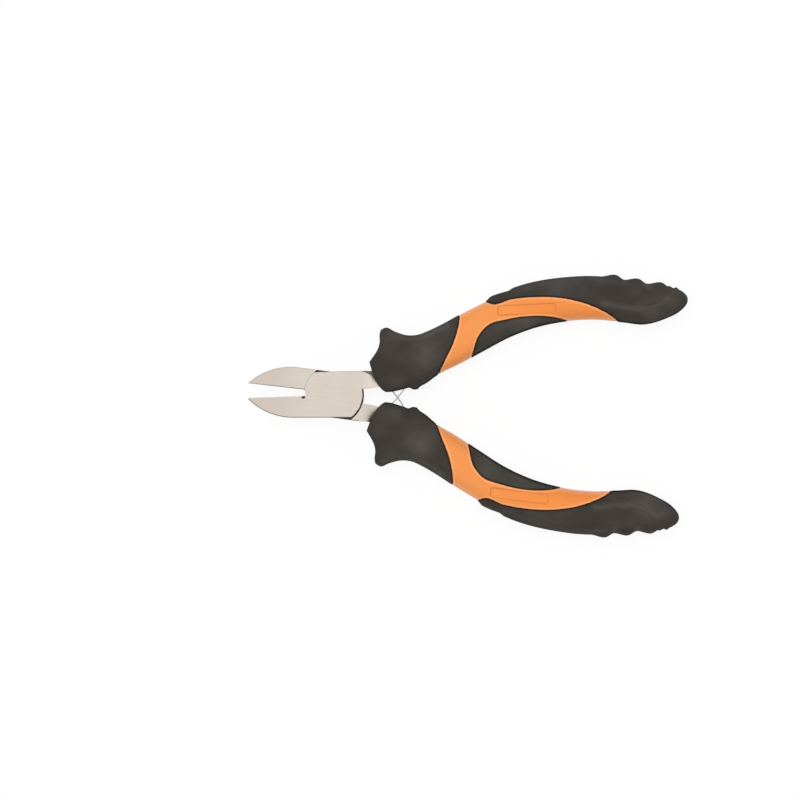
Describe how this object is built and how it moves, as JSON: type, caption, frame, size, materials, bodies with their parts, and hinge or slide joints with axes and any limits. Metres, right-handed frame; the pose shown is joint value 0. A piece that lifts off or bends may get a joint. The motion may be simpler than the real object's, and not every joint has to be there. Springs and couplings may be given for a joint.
{
  "type": "diagonal cutter",
  "caption": "Small diagonal cutter: lapped steel jaws on a flush rivet, crossed leaf springs that open it, and curved orange and black handles with thumb guards and ribbed ends.",
  "frame": {"origin": "on the pivot axis, at the rear ground face of the joint", "axes": "+X from the pivot along the centre line between the handles, +Y to the upper handle, +Z along the pivot axis out of the front face"},
  "size_m": [0.125, 0.0756, 0.0116],
  "materials": {
    "satin_steel": "satin, fine brushing along the tool",
    "spring_steel": "dark tempered spring strip",
    "black_soft_grip": "satin soft moulding",
    "orange_hard_grip": "satin hard moulding"
  },
  "bodies": {
    "upper_handle": {"front_half": "satin_steel", "pivot_rivet": "satin_steel", "upper_grip_core": "orange_hard_grip", "upper_front_guard": "black_soft_grip", "upper_inner_inlay": "black_soft_grip", "upper_rear_sleeve": "black_soft_grip", "upper_spring_pin": "satin_steel"},
    "lower_handle": {"rear_half": "satin_steel", "lower_grip_core": "orange_hard_grip", "lower_front_guard": "black_soft_grip", "lower_inner_inlay": "black_soft_grip", "lower_rear_sleeve": "black_soft_grip", "lower_spring_pin": "satin_steel"},
    "upper_spring": {"upper_leaf_spring": "spring_steel"},
    "lower_spring": {"lower_leaf_spring": "spring_steel"}
  },
  "joints": [
    {"name": "jaw_pivot", "type": "hinge", "parent": "upper_handle", "child": "lower_handle", "pos_m": [0, 0, 0.0038], "axis": [0, 0, 1], "range_deg": [-6, 9.6], "stiffness_Nm_per_rad": 1.8},
    {"name": "upper_spring_flex", "type": "hinge", "parent": "upper_handle", "child": "upper_spring", "pos_m": [0.02201, 0.00555, 0.0038], "axis": [0, 0, 1], "range_deg": [-17.5, 11]},
    {"name": "lower_spring_flex", "type": "hinge", "parent": "lower_handle", "child": "lower_spring", "pos_m": [0.02201, -0.00555, 0.0038], "axis": [0, 0, 1], "range_deg": [-11, 17.5]}
  ],
  "couplings": [
    {"joint": "upper_spring_flex", "follows": "jaw_pivot", "ratio": -1.8},
    {"joint": "lower_spring_flex", "follows": "jaw_pivot", "ratio": 1.8}
  ]
}
